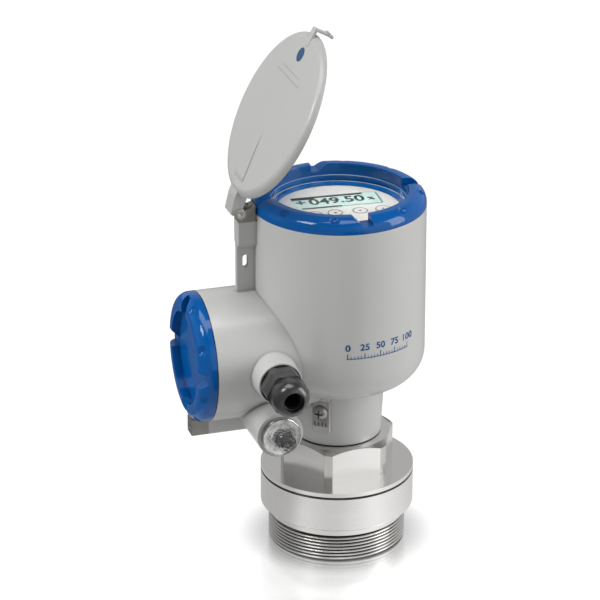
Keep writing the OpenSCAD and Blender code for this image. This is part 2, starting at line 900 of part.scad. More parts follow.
module hinge_nut() {
  color([0.7, 0.69, 0.66])
    translate([hinge_x, fork_out, hinge_z])
      rotate([-90, 0, 0])
        difference() {
          cylinder(h = 3, r = 7 / 2 / cos(30), $fn = 6);
          translate([0, 0, -e]) cylinder(h = 6, r = pin_r + fit);
        }
}

// Weather cover, closed, with the hinge pin at the origin
module shade_shell() {
  edge = shade_t - 0.5;
  translate([shade_reach, 0, shade_rise])
    rotate_extrude()
      difference() {
        intersection() {
          union() {
            square([shade_d / 2 - edge, shade_t]);
            square([shade_d / 2, shade_t - edge]);
            translate([shade_d / 2 - edge, shade_t - edge]) circle(r = edge);
          }
          square([100, 100]);
        }
        translate([0, -e])
          square([shade_d / 2 - edge, shade_t - shade_wall + e]);
        translate([0, -e])
          square([shade_d / 2 - shade_wall, shade_t - edge + e]);
        translate([shade_d / 2 - edge, shade_t - edge])
          circle(r = edge - shade_wall);
      }
}

module weather_cover() {
  top = shade_rise + shade_t;
  wall = shade_wall / 2;
  color([0.78, 0.78, 0.76])
    translate([hinge_x, 0, hinge_z])
      rotate([0, -shade_open, 0]) {
        shade_shell();
        // arm over the hinge
        intersection() {
          translate([0, 20, 0])
            rotate([90, 0, 0])
              linear_extrude(height = 40)
                polygon([[-2.9, 4.7], [8, 7.6], [16, 8.3], [21, top + 0.5],
                  [40, top + 0.5], [57, top - 0.1], [57, top - 1.1],
                  [40, top - 1.1], [16, top - 2.2], [8, 6.1], [-2.9, 3.5]]);
          linear_extrude(height = 30)
            polygon([[-4, -fork_out], [12, -fork_out], [20, -9], [57, -0.5],
              [57, 0.5], [20, 9], [12, fork_out], [-4, fork_out]]);
        }
        // fork
        for (y = [-fork_in, fork_out])
          translate([0, y, 0])
            rotate([90, 0, 0])
              linear_extrude(height = fork_t)
                difference() {
                  union() {
                    polygon([[-2.9, 4.7], [-3.1, 0.8], [3.1, -0.8], [10.6, 0.2],
                      [12.6, 2.9], [14, 4.9], [16, 8.3], [8, 7.6]]);
                    circle(r = 3.2);
                  }
                  circle(r = pin_r + fit);
                }
        // pull tab over the rim
        translate([shade_reach + shade_d / 2 - 8, -3, top - 1.3])
          cube([12.1, 6, 1.5]);
        translate([shade_reach + shade_d / 2 + 2.8, -3, -1.6])
          cube([1.3, 6, top + 1]);
        translate([shade_reach + shade_d / 2 + 2.8, -5.5, -2.6])
          cube([1.8, 11, 1.8]);
      }
}

threaded_flange();
lens_antenna();
lens_o_ring();
lens_retaining_ring();
flange_gasket();
hex_adapter();
waveguide_tube();
swivel_clip();
neck_seal();
housing();
radar_module();
electronics_module();
display_module();
display_board();
lcd_panel();
display_bezel();
display_keys();
cable_feedthrough();
terminal_block();
terminal_screws();
display_cover();
cover_window();
window_seal();
display_cover_o_ring();
terminal_cover();
terminal_cover_o_ring();
display_cover_lock();
terminal_cover_lock();
lock_screws();
gland_washer();
gland_body();
gland_seal();
gland_clamp_ring();
gland_nut();
blanking_plug();
plug_o_ring();
ground_clamp();
ground_screw();
hinge_screw();
hinge_nut();
weather_cover();
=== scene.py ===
import math
import bpy
from mathutils import Matrix, Vector


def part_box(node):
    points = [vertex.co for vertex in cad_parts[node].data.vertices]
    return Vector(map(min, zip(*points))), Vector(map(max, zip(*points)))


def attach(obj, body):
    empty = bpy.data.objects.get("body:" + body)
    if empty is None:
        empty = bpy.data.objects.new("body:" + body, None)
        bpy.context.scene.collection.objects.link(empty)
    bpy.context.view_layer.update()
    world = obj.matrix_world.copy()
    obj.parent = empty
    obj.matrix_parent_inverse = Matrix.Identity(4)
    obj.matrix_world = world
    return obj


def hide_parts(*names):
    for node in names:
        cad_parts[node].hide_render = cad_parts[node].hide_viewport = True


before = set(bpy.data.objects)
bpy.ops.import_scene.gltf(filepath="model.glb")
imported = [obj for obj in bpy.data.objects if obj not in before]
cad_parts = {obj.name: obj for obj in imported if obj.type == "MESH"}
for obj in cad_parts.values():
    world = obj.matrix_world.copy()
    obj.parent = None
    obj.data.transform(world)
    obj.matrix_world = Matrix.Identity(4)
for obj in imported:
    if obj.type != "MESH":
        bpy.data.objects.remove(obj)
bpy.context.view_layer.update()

# The object as a whole: a radar level gauge about 0.34 m tall with its
# weather cover open. Its CAD nodes carry their own shapes; this script gives
# them finishes and adds the pieces that are finer than the CAD. Metres.
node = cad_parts
bpy.ops.object.select_all(action="DESELECT")

# Studio: a long lens slightly above the gauge, a white surround, softboxes to
# its left, its right and above, a small lamp for highlights, and a white floor
# that polished metal sees as a ring of grey cards.
camera_data = bpy.data.cameras.new("camera")
camera = bpy.data.objects.new("camera", camera_data)
bpy.context.scene.collection.objects.link(camera)
bpy.context.scene.camera = camera
camera_place = Vector((-0.5457, -1.6716, 0.9311))
camera_target = Vector((-0.0228, 0.0071, 0.1622))
aim = (camera_target - camera_place).to_track_quat("-Z", "Y")
camera.location = camera_place
camera.rotation_mode = "QUATERNION"
camera_roll = math.radians(0.125)
camera.rotation_quaternion = aim @ Matrix.Rotation(camera_roll, 4, "Z").to_quaternion()
camera_data.sensor_width = 36.0
camera_data.lens = 183.18
camera_data.clip_start = 0.05
camera_data.clip_end = 20.0
bpy.context.scene.view_settings.view_transform = "Standard"


def add_node(tree, kind, values=(), links=()):
    """A shader node of this kind, with its input values and incoming links set."""
    made = tree.nodes.new(kind)
    for socket, value in values:
        made.inputs[socket].default_value = value
    for socket, source in links:
        tree.links.new(source, made.inputs[socket])
    return made


def add_math(tree, operation, first, second):
    """A math node on two inputs, each a number or another node's output."""
    made = tree.nodes.new("ShaderNodeMath")
    made.operation = operation
    for socket, source in enumerate((first, second)):
        if isinstance(source, (int, float)):
            made.inputs[socket].default_value = source
        else:
            tree.links.new(source, made.inputs[socket])
    return made.outputs[0]


def add_mix(tree, factor, first, second):
    """A mix of two colours, each an RGB value or another node's output."""
    made = tree.nodes.new("ShaderNodeMix")
    made.data_type = "RGBA"
    tree.links.new(factor, made.inputs["Factor"])
    for socket, source in (("A", first), ("B", second)):
        if isinstance(source, tuple):
            made.inputs[socket].default_value = (*source, 1.0)
        else:
            tree.links.new(source, made.inputs[socket])
    return made.outputs["Result"]


def add_compass(tree, direction, stops):
    """Brightness by compass direction, from stops of (degrees from +X, grey)."""
    apart = add_node(tree, "ShaderNodeSeparateXYZ", links=[(0, direction)])
    angle = add_math(tree, "ARCTAN2", apart.outputs["Y"], apart.outputs["X"])
    turn = add_math(tree, "ADD", add_math(tree, "DIVIDE", angle, 2 * math.pi), 0.5)
    ramp = add_node(tree, "ShaderNodeValToRGB", links=[(0, turn)])
    while len(ramp.color_ramp.elements) < len(stops):
        ramp.color_ramp.elements.new(0.5)
    for element, (degrees, grey) in zip(ramp.color_ramp.elements, stops):
        element.position = degrees / 360 + 0.5
        element.color = (grey, grey, grey, 1.0)
    return ramp.outputs["Color"]


surround = bpy.data.worlds.new("white surround")
bpy.context.scene.world = surround
surround.use_nodes = True
tree = surround.node_tree
tree.nodes.clear()
around = add_node(tree, "ShaderNodeTexCoord").outputs["Generated"]
daylight = add_compass(tree, around, (
    (-180, 0.48), (-150, 0.42), (-128, 0.14), (-86, 0.14), (-58, 0.42), (0, 0.46), (90, 0.4), (180, 0.44)))
reflected = add_compass(tree, around, (
    (-180, 0.25), (-150, 0.28), (-128, 0.4), (-95, 0.4), (-70, 1.35), (-38, 1.2), (0, 0.7), (60, 0.55),
    (120, 0.5), (150, 0.55), (168, 0.55), (180, 0.25)))
height = add_node(tree, "ShaderNodeSeparateXYZ", links=[(0, around)]).outputs["Z"]
ceiling = add_node(tree, "ShaderNodeMapRange", [
    ("From Min", 0.5), ("From Max", 0.7), ("To Min", 1.0), ("To Max", 0.25)], [("Value", height)])
path = add_node(tree, "ShaderNodeLightPath")
lit = add_node(tree, "ShaderNodeBackground", [("Strength", 1.0)], [("Color", daylight)])
mirrored = add_node(tree, "ShaderNodeBackground", links=[
    ("Color", reflected), ("Strength", ceiling.outputs["Result"])])
seen = add_node(tree, "ShaderNodeBackground", [("Color", (1.0, 1.0, 1.0, 1.0)), ("Strength", 1.0)])
glossy = add_node(tree, "ShaderNodeMixShader", links=[
    (0, path.outputs["Is Glossy Ray"]), (1, lit.outputs[0]), (2, mirrored.outputs[0])])
direct = add_math(tree, "MAXIMUM", path.outputs["Is Camera Ray"], path.outputs["Is Transmission Ray"])
pick = add_node(tree, "ShaderNodeMixShader", links=[
    (0, direct), (1, glossy.outputs[0]), (2, seen.outputs[0])])
add_node(tree, "ShaderNodeOutputWorld", links=[("Surface", pick.outputs[0])])


def softbox(name, place, target, size, power, in_mirrors=True):
    """A rectangular studio lamp of size (width, height) aimed at a point."""
    lamp = bpy.data.lights.new(name, "AREA")
    lamp.shape = "RECTANGLE"
    lamp.size, lamp.size_y = size
    lamp.energy = power
    holder = bpy.data.objects.new(name, lamp)
    bpy.context.scene.collection.objects.link(holder)
    holder.location = place
    holder.rotation_mode = "QUATERNION"
    holder.rotation_quaternion = (Vector(target) - Vector(place)).to_track_quat("-Z", "Y")
    holder.visible_glossy = in_mirrors
    return holder


softbox("left softbox", (-1.47, -0.1, 0.75), (0.0, 0.0, 0.16), (0.5, 1.2), 12.5, in_mirrors=False)
softbox("right softbox", (1.28, -0.68, 0.6), (0.0, 0.0, 0.16), (0.6, 1.2), 13.5)
softbox("overhead softbox", (-0.15, -0.1, 1.5), (0.0, 0.0, 0.1), (1.1, 0.7), 11.5)
highlight = softbox("highlight lamp", (-0.82, -0.3, 1.15), (0.0, 0.0, 0.2), (0.42, 0.3), 6.5)
highlight.visible_diffuse = False

bpy.ops.mesh.primitive_plane_add(size=6.0, location=(0.0, 0.0, -0.0002))
floor = bpy.context.object
floor.name = "studio_floor"
bpy.ops.object.transform_apply(location=True)
bpy.ops.object.mode_set(mode="EDIT")
bpy.ops.mesh.subdivide(number_cuts=3)
bpy.ops.object.mode_set(mode="OBJECT")
paper = bpy.data.materials.new("white paper")
paper.use_nodes = True
tree = paper.node_tree
tree.nodes.clear()
path = add_node(tree, "ShaderNodeLightPath")
matt = add_node(tree, "ShaderNodeBsdfDiffuse", [("Color", (0.14, 0.14, 0.14, 1.0))])
sheen = add_node(tree, "ShaderNodeBsdfGlossy", [("Color", (0.86, 0.86, 0.86, 1.0)), ("Roughness", 0.2)])
board = add_node(tree, "ShaderNodeAddShader", links=[(0, matt.outputs[0]), (1, sheen.outputs[0])])
# Painted shadow: near the gauge the floor's glow is dimmed by ambient occlusion, a painted contact shadow.
close = add_node(tree, "ShaderNodeAmbientOcclusion", [("Distance", 0.022)])
close.samples = 8
strength = add_math(tree, "MULTIPLY", add_math(tree, "POWER", close.outputs["AO"], 3.0), 0.5)
glow = add_node(tree, "ShaderNodeEmission", [("Color", (1.0, 1.0, 1.0, 1.0))], [("Strength", strength)])
white = add_node(tree, "ShaderNodeAddShader", links=[(0, board.outputs[0]), (1, glow.outputs[0])])
grey = add_node(tree, "ShaderNodeBsdfDiffuse", [("Color", (0.06, 0.06, 0.06, 1.0))])
place = add_node(tree, "ShaderNodeTexCoord").outputs["Object"]
close_by = add_compass(tree, place, (
    (-180, 0.5), (-165, 0.53), (-148, 0.84), (-132, 0.74), (-118, 0.68), (-106, 0.7), (-90, 0.86),
    (-60, 1.04), (-30, 0.86), (20, 0.62), (110, 0.5), (180, 0.5)))
far_off = add_compass(tree, place, (
    (-180, 0.16), (-160, 0.2), (-130, 0.5), (-108, 0.6), (-101, 0.04), (-80, 0.04), (-68, 1.05),
    (-30, 0.95), (20, 0.45), (60, 0.05), (180, 0.1)))
reach = add_node(tree, "ShaderNodeVectorMath", links=[(0, place)])
reach.operation = "LENGTH"
outer = add_node(tree, "ShaderNodeMapRange", [("From Min", 0.165), ("From Max", 0.2)],
                 [("Value", reach.outputs["Value"])])
cards = add_mix(tree, outer.outputs["Result"], close_by, far_off)
shine = add_node(tree, "ShaderNodeEmission", [("Strength", 1.0)], [("Color", cards)])
mirrored = add_node(tree, "ShaderNodeAddShader", links=[(0, grey.outputs[0]), (1, shine.outputs[0])])
bounced = add_node(tree, "ShaderNodeBsdfDiffuse", [("Color", (0.55, 0.55, 0.55, 1.0))])
soft = add_node(tree, "ShaderNodeMixShader", links=[
    (0, path.outputs["Is Diffuse Ray"]), (1, white.outputs[0]), (2, bounced.outputs[0])])
whole = add_node(tree, "ShaderNodeMixShader", links=[
    (0, path.outputs["Is Glossy Ray"]), (1, soft.outputs[0]), (2, mirrored.outputs[0])])
add_node(tree, "ShaderNodeOutputMaterial", links=[("Surface", whole.outputs[0])])
floor.data.materials.append(paper)
bpy.ops.object.select_all(action="DESELECT")


# Process connection: a flange with a G3A parallel pipe thread below it, turned
# from one bar of stainless steel. The thread is one tooth carried round the
# core at 11 turns to the inch, with its ends faced off; its roots are painted
# dark as painted shade.
def turned(name, outline, steps=128):
    """A solid of revolution, traced once round its closed (radius, height) outline."""
    bpy.ops.object.select_all(action="DESELECT")
    radius, height = outline[0]
    bpy.ops.mesh.primitive_circle_add(vertices=steps, radius=radius, location=(0.0, 0.0, height))
    piece = bpy.context.object
    piece.name = name
    bpy.ops.object.transform_apply(location=True)
    bpy.ops.object.mode_set(mode="EDIT")
    bpy.ops.mesh.select_all(action="SELECT")
    for wide, high in outline[1:] + outline[:1]:
        bpy.ops.mesh.extrude_region_move(TRANSFORM_OT_translate={"value": (0.0, 0.0, high - height)})
        if wide != radius:
            bpy.ops.transform.resize(value=(wide / radius, wide / radius, 1.0),
                                     center_override=(0.0, 0.0, high))
        radius, height = wide, high
    bpy.ops.mesh.select_all(action="SELECT")
    bpy.ops.mesh.remove_doubles(threshold=1e-6)
    bpy.ops.mesh.normals_make_consistent(inside=False)
    bpy.ops.object.mode_set(mode="OBJECT")
    return piece


thread_pitch = 0.0254 / 11
crest, core = 0.04394, 0.0425
thread_low, thread_high = 0.0007, 0.0174
relief, flange_low = 0.0439, 0.024
flange_radius, flange_top, chamfer = 0.049, 0.0469, 0.0002
lens_seat, ring_groove = 0.038, 0.0388
horn_mouth, horn_throat, spigot_bore = 0.035, 0.006, 0.02
body = turned("turned_flange", [
    (lens_seat, 0.0), (core - 0.0004, 0.0), (core, 0.0004),
    (core, thread_high), (relief - 0.0003, thread_high + 0.0004), (relief, thread_high + 0.0007),
    (relief, flange_low - 0.0003), (relief + 0.0003, flange_low),
    (flange_radius - 0.0005, flange_low), (flange_radius, flange_low + 0.0005),
    (flange_radius, flange_top - chamfer), (flange_radius - chamfer, flange_top),
    (spigot_bore, flange_top), (spigot_bore, 0.04),
    (horn_throat, 0.04), (horn_throat, 0.036), (horn_mouth, 0.006), (lens_seat, 0.006),
    (lens_seat, 0.00155), (ring_groove, 0.00155), (ring_groove, 0.00045), (lens_seat, 0.00045)])
bpy.ops.object.select_all(action="DESELECT")
bpy.ops.mesh.primitive_plane_add(size=1.0)
tooth = bpy.context.object
bpy.ops.object.mode_set(mode="EDIT")
bpy.ops.mesh.select_all(action="SELECT")
bpy.ops.transform.rotate(value=math.radians(90), orient_axis="X", center_override=(0.0, 0.0, 0.0))
rooted = core - 0.0003
bpy.ops.transform.resize(value=(crest - rooted, 1.0, thread_pitch * 1.12))
bpy.ops.transform.translate(value=((crest + rooted) / 2, 0.0, -thread_pitch))
bpy.ops.mesh.select_all(action="DESELECT")
bpy.ops.object.mode_set(mode="OBJECT")
for corner in tooth.data.vertices:
    corner.select = corner.co.x > core
bpy.ops.object.mode_set(mode="EDIT")
bpy.ops.transform.resize(value=(1.0, 1.0, 0.2), center_override=(crest, 0.0, -thread_pitch))
bpy.ops.mesh.bevel(offset=0.00016, segments=2, affect="VERTICES")
bpy.ops.object.mode_set(mode="OBJECT")
helix = tooth.modifiers.new("helix", "SCREW")
helix.axis = "Z"
helix.steps = helix.render_steps = 96
helix.screw_offset = thread_pitch
helix.iterations = 9
bpy.ops.object.modifier_apply(modifier="helix")
bpy.ops.object.mode_set(mode="EDIT")
for height, below in ((thread_low, True), (thread_high, False)):
    bpy.ops.mesh.select_all(action="SELECT")
    bpy.ops.mesh.bisect(plane_co=(0.0, 0.0, height), plane_no=(0.0, 0.0, 1.0), use_fill=True,
                        clear_inner=below, clear_outer=not below)
bpy.ops.mesh.select_all(action="SELECT")
bpy.ops.mesh.normals_make_consistent(inside=False)
bpy.ops.object.mode_set(mode="OBJECT")
tooth.select_set(True)
body.select_set(True)
bpy.context.view_layer.objects.active = body
bpy.ops.object.join()
bpy.ops.object.shade_smooth_by_angle(angle=math.radians(28))
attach(body, "process_connection")
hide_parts("threaded_flange")


def new_group(name, inputs, outputs):
    """An empty shader node group with float inputs and named float outputs."""
    group = bpy.data.node_groups.new(name, "ShaderNodeTree")
    for label, value in inputs:
        made = group.interface.new_socket(name=label, in_out="INPUT", socket_type="NodeSocketFloat")
        made.default_value = value
    for label in outputs:
        group.interface.new_socket(name=label, in_out="OUTPUT", socket_type="NodeSocketFloat")
    return group, group.nodes.new("NodeGroupInput"), group.nodes.new("NodeGroupOutput")


turning, wanted, given = new_group("turning marks", [("Pitch", 3800.0), ("Streak", 160.0)],
                                   ["Height", "Streaks"])
apart = add_node(turning, "ShaderNodeSeparateXYZ", links=[
    (0, add_node(turning, "ShaderNodeTexCoord").outputs["Object"])])
for label, source, detail in (("Height", "Pitch", 4.0), ("Streaks", "Streak", 2.0)):
    noise = add_node(turning, "ShaderNodeTexNoise", [("Detail", detail)])
    noise.noise_dimensions = "1D"
    turning.links.new(apart.outputs["Z"], noise.inputs["W"])
    turning.links.new(wanted.outputs[source], noise.inputs["Scale"])
    turning.links.new(noise.outputs["Fac"], given.inputs[label])

grain, wanted, given = new_group("fine grain", [("Scale", 900.0), ("Blotch", 14.0)],
                                 ["Height", "Tone"])
place = add_node(grain, "ShaderNodeTexCoord")
for label, source, detail in (("Height", "Scale", 3.0), ("Tone", "Blotch", 2.0)):
    noise = add_node(grain, "ShaderNodeTexNoise", [("Detail", detail)], [
        ("Vector", place.outputs["Object"]), ("Scale", wanted.outputs[source])])
    grain.links.new(noise.outputs["Fac"], given.inputs[label])


def finish(name, colour, roughness, metallic=0.0):
    """A Principled material; returns (material, node tree, shader)."""
    made = bpy.data.materials.new(name)
    made.use_nodes = True
    shader = made.node_tree.nodes["Principled BSDF"]
    shader.inputs["Base Color"].default_value = (*colour, 1.0)
    shader.inputs["Roughness"].default_value = roughness
    shader.inputs["Metallic"].default_value = metallic
    return made, made.node_tree, shader


def add_grain(tree, shader, scale, depth, dark, light, blotch=14.0, rough=None, round_over=0.0,
              shade_reach=0.0):
    """Grain bump, a faint tone between two colours, rounded edges, and painted shade in hollows.

    Returns the colour, for a material that masks it further.
    """
    group = tree.nodes.new("ShaderNodeGroup")
    group.node_tree = grain
    group.inputs["Scale"].default_value = scale
    group.inputs["Blotch"].default_value = blotch
    bump = add_node(tree, "ShaderNodeBump", [("Distance", depth)], [("Height", group.outputs["Height"])])
    tree.links.new(bump.outputs["Normal"], shader.inputs["Normal"])
    if round_over:
        edges = add_node(tree, "ShaderNodeBevel", [("Radius", round_over)])
        edges.samples = 8
        tree.links.new(edges.outputs["Normal"], bump.inputs["Normal"])
    colour = add_mix(tree, group.outputs["Tone"], dark, light)
    # Painted shade: where ambient occlusion finds a hollow, the colour darkens towards a third of the dark
    # grain colour.
    if shade_reach:
        hollow = add_node(tree, "ShaderNodeAmbientOcclusion", [("Distance", shade_reach)])
        hollow.samples = 8
        hollow.only_local = True
        colour = add_mix(tree, hollow.outputs["AO"], tuple(0.3 * part for part in dark), colour)
    tree.links.new(colour, shader.inputs["Base Color"])
    if rough:
        spread = add_node(tree, "ShaderNodeMapRange", [("To Min", rough[0]), ("To Max", rough[1])],
                          [("Value", group.outputs["Height"])])
        tree.links.new(spread.outputs["Result"], shader.inputs["Roughness"])
    return colour


def dress(material, *names):
    """Gives every slot of these CAD nodes this material."""
    for name in names:
        for held in node[name].material_slots:
            held.material = material


def add_turning(tree, shader, depth, rough):
    """Turning marks as bump, with a roughness that changes from mark to mark."""
    marks = tree.nodes.new("ShaderNodeGroup")
    marks.node_tree = turning
    bump = add_node(tree, "ShaderNodeBump", [("Distance", depth)], [("Height", marks.outputs["Height"])])
    tree.links.new(bump.outputs["Normal"], shader.inputs["Normal"])
    spread = add_node(tree, "ShaderNodeMapRange", [("To Min", rough[0]), ("To Max", rough[1])],
                      [("Value", marks.outputs["Streaks"])])
    tree.links.new(spread.outputs["Result"], shader.inputs["Roughness"])


def add_axes(tree):
    """The X, Y and Z of a point on the piece, as three outputs."""
    place = add_node(tree, "ShaderNodeTexCoord").outputs["Object"]
    return add_node(tree, "ShaderNodeSeparateXYZ", links=[(0, place)]).outputs


def add_distance(tree, first, second):
    """The distance from an axis, from the two coordinates across it."""
    squares = [add_math(tree, "MULTIPLY", side, side) for side in (first, second)]
    return add_math(tree, "SQRT", add_math(tree, "ADD", *squares), 0.0)


def add_between(tree, value, low, high):
    """1 where a value lies between two limits, otherwise 0."""
    return add_math(tree, "MULTIPLY", add_math(tree, "GREATER_THAN", value, low),
                    add_math(tree, "LESS_THAN", value, high))


steel = (0.76, 0.75, 0.735)
stainless, tree, shader = finish("turned stainless", steel, 0.26, 1.0)
add_turning(tree, shader, 0.0000014, (0.2, 0.34))
# Painted shade: the thread roots and a line along the flange's top edge, at the gasket, are coloured near
# black.
axes = add_axes(tree)
depth = add_node(tree, "ShaderNodeMapRange", [("From Min", core + 0.0003), ("From Max", crest + 0.00016)],
                 [("Value", add_distance(tree, axes["X"], axes["Y"]))])
smooth = add_math(tree, "MAXIMUM", depth.outputs["Result"],
                  add_math(tree, "GREATER_THAN", axes["Z"], thread_high + 0.0005))
gasket_shade_line = flange_top - 0.0008
unshaded = add_math(tree, "MULTIPLY", smooth, add_math(tree, "LESS_THAN", axes["Z"], gasket_shade_line))
tree.links.new(add_mix(tree, unshaded, (0.06, 0.057, 0.054), steel), shader.inputs["Base Color"])
body.data.materials.clear()
body.data.materials.append(stainless)
dress(stainless, "lens_retaining_ring", "waveguide_tube")

# Antenna: a lens of pale engineering plastic, milled flat below and crowned
# above, that closes the horn inside the flange.
lens_plastic, tree, shader = finish("lens plastic", (0.66, 0.58, 0.42), 0.4)
add_grain(tree, shader, 1800.0, 0.00002, (0.62, 0.54, 0.38), (0.7, 0.62, 0.46), 40.0,
          rough=(0.34, 0.48))
shader.inputs["Subsurface Weight"].default_value = 0.1
shader.inputs["Subsurface Radius"].default_value = (0.004, 0.003, 0.0015)
dress(lens_plastic, "lens_antenna")

# Seals: moulded black rubber, matt, at the lens, the flange, the covers, the
# neck and the cable entries.
rubber, tree, shader = finish("seal rubber", (0.012, 0.012, 0.012), 0.75)
add_grain(tree, shader, 3000.0, 0.00003, (0.01, 0.01, 0.01), (0.016, 0.016, 0.016), 200.0,
          rough=(0.65, 0.85))
shader.inputs["Specular IOR Level"].default_value = 0.25
dress(rubber, "lens_o_ring", "flange_gasket", "neck_seal", "display_cover_o_ring",
      "terminal_cover_o_ring", "gland_washer", "gland_seal", "plug_o_ring")

# Adapter: a turned plate with a hexagon for the spanner, in the same steel.
# The flats are milled bright; the narrow turned corners are painted darker, as painted shade.
flat_end, corner_end, plate_top = 0.03745, 0.0385, 0.0505
milled, tree, shader = finish("milled stainless", steel, 0.2, 1.0)
add_turning(tree, shader, 0.000002, (0.16, 0.26))
axes = add_axes(tree)
# Painted shade: the corner strips above the plate take a darker grey than the flats.
corner = add_between(tree, add_distance(tree, axes["X"], axes["Y"]), flat_end, corner_end)
above_plate = add_math(tree, "GREATER_THAN", axes["Z"], plate_top)
corner_shade = add_math(tree, "MULTIPLY", corner, above_plate)
tree.links.new(add_mix(tree, corner_shade, steel, (0.6, 0.59, 0.57)), shader.inputs["Base Color"])
dress(milled, "hex_adapter")

# Housing: one die-casting with the upright chamber, the terminal chamber at
# its side, two cable entries and a neck, in a light grey powder coating.
grey_coating, tree, shader = finish("grey coating", (0.5, 0.5, 0.49), 0.34)
# Painted shade: the grey darkens in the casting's hollows and corners.
add_grain(tree, shader, 1500.0, 0.00002, (0.485, 0.485, 0.475), (0.52, 0.52, 0.51),
          rough=(0.28, 0.4), round_over=0.0012, shade_reach=0.0025)
shader.inputs["Coat Weight"].default_value = 0.35
shader.inputs["Coat Roughness"].default_value = 0.14
shader.inputs["Specular IOR Level"].default_value = 0.45
dress(grey_coating, "housing")

# Level scale: plain ticks and numbers printed in blue on the front of the
# upright chamber, laid flat and then pressed onto its round wall.
print_blue, tree, shader = finish("blue print", (0.02, 0.15, 0.43), 0.42)
add_grain(tree, shader, 2400.0, 0.00001, (0.018, 0.14, 0.41), (0.024, 0.16, 0.45), 60.0,
          rough=(0.36, 0.48))
print_depth = 0.00006
figure_share = 0.7


def thicken():
    """Gives the active flat print its thickness, upwards, as a closed slab."""
    bpy.ops.object.mode_set(mode="EDIT")
    bpy.ops.mesh.select_all(action="SELECT")
    bpy.ops.mesh.extrude_region_move(TRANSFORM_OT_translate={"value": (0.0, 0.0, print_depth)})
    bpy.ops.mesh.select_all(action="SELECT")
    bpy.ops.mesh.normals_make_consistent(inside=False)
    bpy.ops.object.mode_set(mode="OBJECT")


def flat_bar(left, right, low, high, columns=1):
    """A thin printed bar in the XY plane."""
    bpy.ops.object.select_all(action="DESELECT")
    bpy.ops.mesh.primitive_grid_add(x_subdivisions=columns, y_subdivisions=1, size=1.0)
    bar = bpy.context.object
    bpy.ops.object.mode_set(mode="EDIT")
    bpy.ops.mesh.select_all(action="SELECT")
    bpy.ops.transform.resize(value=(right - left, high - low, 1.0), center_override=(0.0, 0.0, 0.0))
    bpy.ops.transform.translate(value=((left + right) / 2, (low + high) / 2, 0.0))
    bpy.ops.object.mode_set(mode="OBJECT")
    thicken()
    return bar


def flat_figures(text, centre, height, stretch=1.0, weight=0.0):
    """Plain figures of this height in the XY plane, as thin closed shapes."""
    bpy.ops.object.select_all(action="DESELECT")
    bpy.ops.object.text_add()
    figures = bpy.context.object
    figures.data.body = text
    figures.data.align_x = "CENTER"
    figures.data.align_y = "CENTER"
    figures.data.size = height / figure_share
    figures.data.offset = weight
    figures.data.extrude = print_depth / 2
    figures.data.resolution_u = 4
    figures.scale = (stretch, 1.0, 1.0)
    figures.location = (centre[0], centre[1], print_depth / 2)
    bpy.ops.object.convert(target="MESH")
    bpy.ops.object.transform_apply(location=True, rotation=True, scale=True)
    bpy.ops.object.mode_set(mode="EDIT")
    bpy.ops.mesh.select_all(action="SELECT")
    bpy.ops.mesh.remove_doubles(threshold=1e-7)
    bpy.ops.mesh.normals_make_consistent(inside=False)
    bpy.ops.object.mode_set(mode="OBJECT")
    return bpy.context.object


def gather(name, parts, material, matrix, riding):
    """Joins printed parts into one piece, sets it in place and lets it ride."""
    bpy.ops.object.select_all(action="DESELECT")
    for part in parts:
        part.select_set(True)
    bpy.context.view_layer.objects.active = parts[0]
    if len(parts) > 1:
        bpy.ops.object.join()
    piece = bpy.context.object
    piece.name = name
    piece.data.materials.clear()
    piece.data.materials.append(material)
    piece.matrix_world = matrix
    bpy.ops.object.transform_apply(location=True, rotation=True, scale=True)
    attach(piece, riding)


def pressed_on(part, target, matrix, lift):
    """Moves each point of a flat part straight back onto a curved wall."""
    bpy.ops.object.select_all(action="DESELECT")
    part.select_set(True)
    bpy.context.view_layer.objects.active = part
    part.matrix_world = matrix
    press = part.modifiers.new("press", "SHRINKWRAP")
    press.target = target
    press.wrap_method = "PROJECT"
    press.use_project_z = True
    press.use_negative_direction = True
    press.use_positive_direction = False
    press.offset = lift
    bpy.ops.object.modifier_apply(modifier="press")
    part.matrix_world = Matrix()


scale_height = 0.1508
scale_angle = math.radians(-79.2)
tick_pitch, figure_pitch = 0.0021, 0.0104
line_low, line_high = -0.0048, -0.0043
facing = Matrix.Rotation(scale_angle + math.pi / 2, 4, "Z") @ Matrix.Rotation(math.pi / 2, 4, "X")
outward = Vector((math.cos(scale_angle), math.sin(scale_angle), 0.0))
start_radius = 0.06
start = outward * start_radius + Vector((0.0, 0.0, scale_height))
before_wall = Matrix.Translation(start) @ facing
marks = [flat_bar(-0.0215, 0.0215, line_low, line_high, 48)]
for step in range(-10, 11):
    tall, half = (0.0034, 0.00024) if step % 5 == 0 else (0.0018, 0.00016)
    middle, foot = step * tick_pitch, line_high - 0.0001
    marks.append(flat_bar(middle - half, middle + half, foot, foot + tall))
for step, figure in enumerate(("0", "25", "50", "75", "100")):
    marks.append(flat_figures(figure, ((step - 2) * figure_pitch, 0.0026), 0.0042, 1.05, 0.00012))
ink_lift = 0.00012
for mark in marks:
    pressed_on(mark, node["housing"], before_wall, ink_lift)
gather("level_scale", marks, print_blue, before_wall, "housing")

